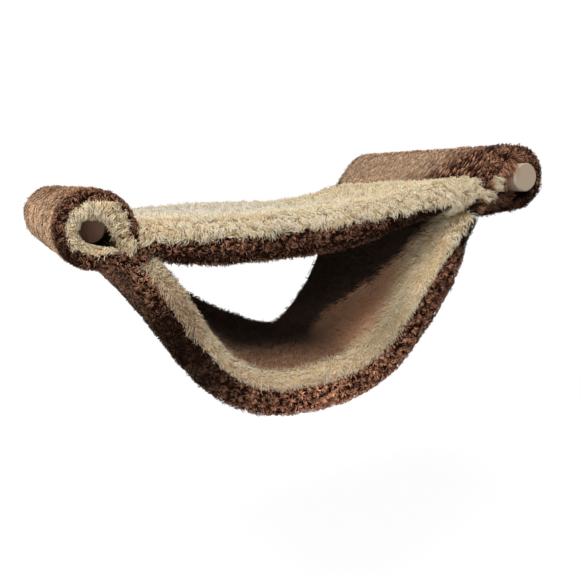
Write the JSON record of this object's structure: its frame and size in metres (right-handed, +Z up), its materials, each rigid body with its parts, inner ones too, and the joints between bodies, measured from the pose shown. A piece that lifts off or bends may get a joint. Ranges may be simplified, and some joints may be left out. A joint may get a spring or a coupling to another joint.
{
  "type": "small pet hammock",
  "caption": "Small pet hammock: a padded plush bed over a deep lined sling, sewn to fleece sleeves that hang on wooden dowels.",
  "frame": {"origin": "midway between the two dowel axes, at half of the cloth's depth", "axes": "+X from the left dowel to the right one, +Y along the dowels from the open front to the back, +Z up as the hammock hangs"},
  "size_m": [0.4122, 0.331, 0.2101],
  "materials": {
    "cream_plush": "curly long-pile plush, cream",
    "brown_fleece": "short curly fleece, dark brown",
    "wadding": "loose white polyester filling",
    "brown_thread": "spun polyester thread, dark brown",
    "pale_wood": "bare sanded softwood"
  },
  "bodies": {
    "cloth": {"bed_top_plush": "cream_plush", "bed_under_fleece": "brown_fleece", "bed_wadding": "wadding", "bed_front_edge_thread": "brown_thread", "bed_back_edge_thread": "brown_thread", "sling_lining_plush": "cream_plush", "sling_outer_fleece": "brown_fleece", "sling_wadding": "wadding", "sling_front_edge_thread": "brown_thread", "sling_back_edge_thread": "brown_thread", "left_sleeve_fleece": "brown_fleece", "left_sleeve_lining": "cream_plush", "left_seam_thread": "brown_thread", "right_sleeve_fleece": "brown_fleece", "right_sleeve_lining": "cream_plush", "right_seam_thread": "brown_thread"},
    "left_dowel": {"left_dowel": "pale_wood"},
    "right_dowel": {"right_dowel": "pale_wood"}
  },
  "joints": [
    {"name": "left_dowel_slide", "type": "slide", "parent": "cloth", "child": "left_dowel", "axis": [0, 1, 0], "range_m": [-0.024, 0.24]},
    {"name": "right_dowel_slide", "type": "slide", "parent": "cloth", "child": "right_dowel", "axis": [0, -1, 0], "range_m": [-0.04, 0.287]}
  ]
}
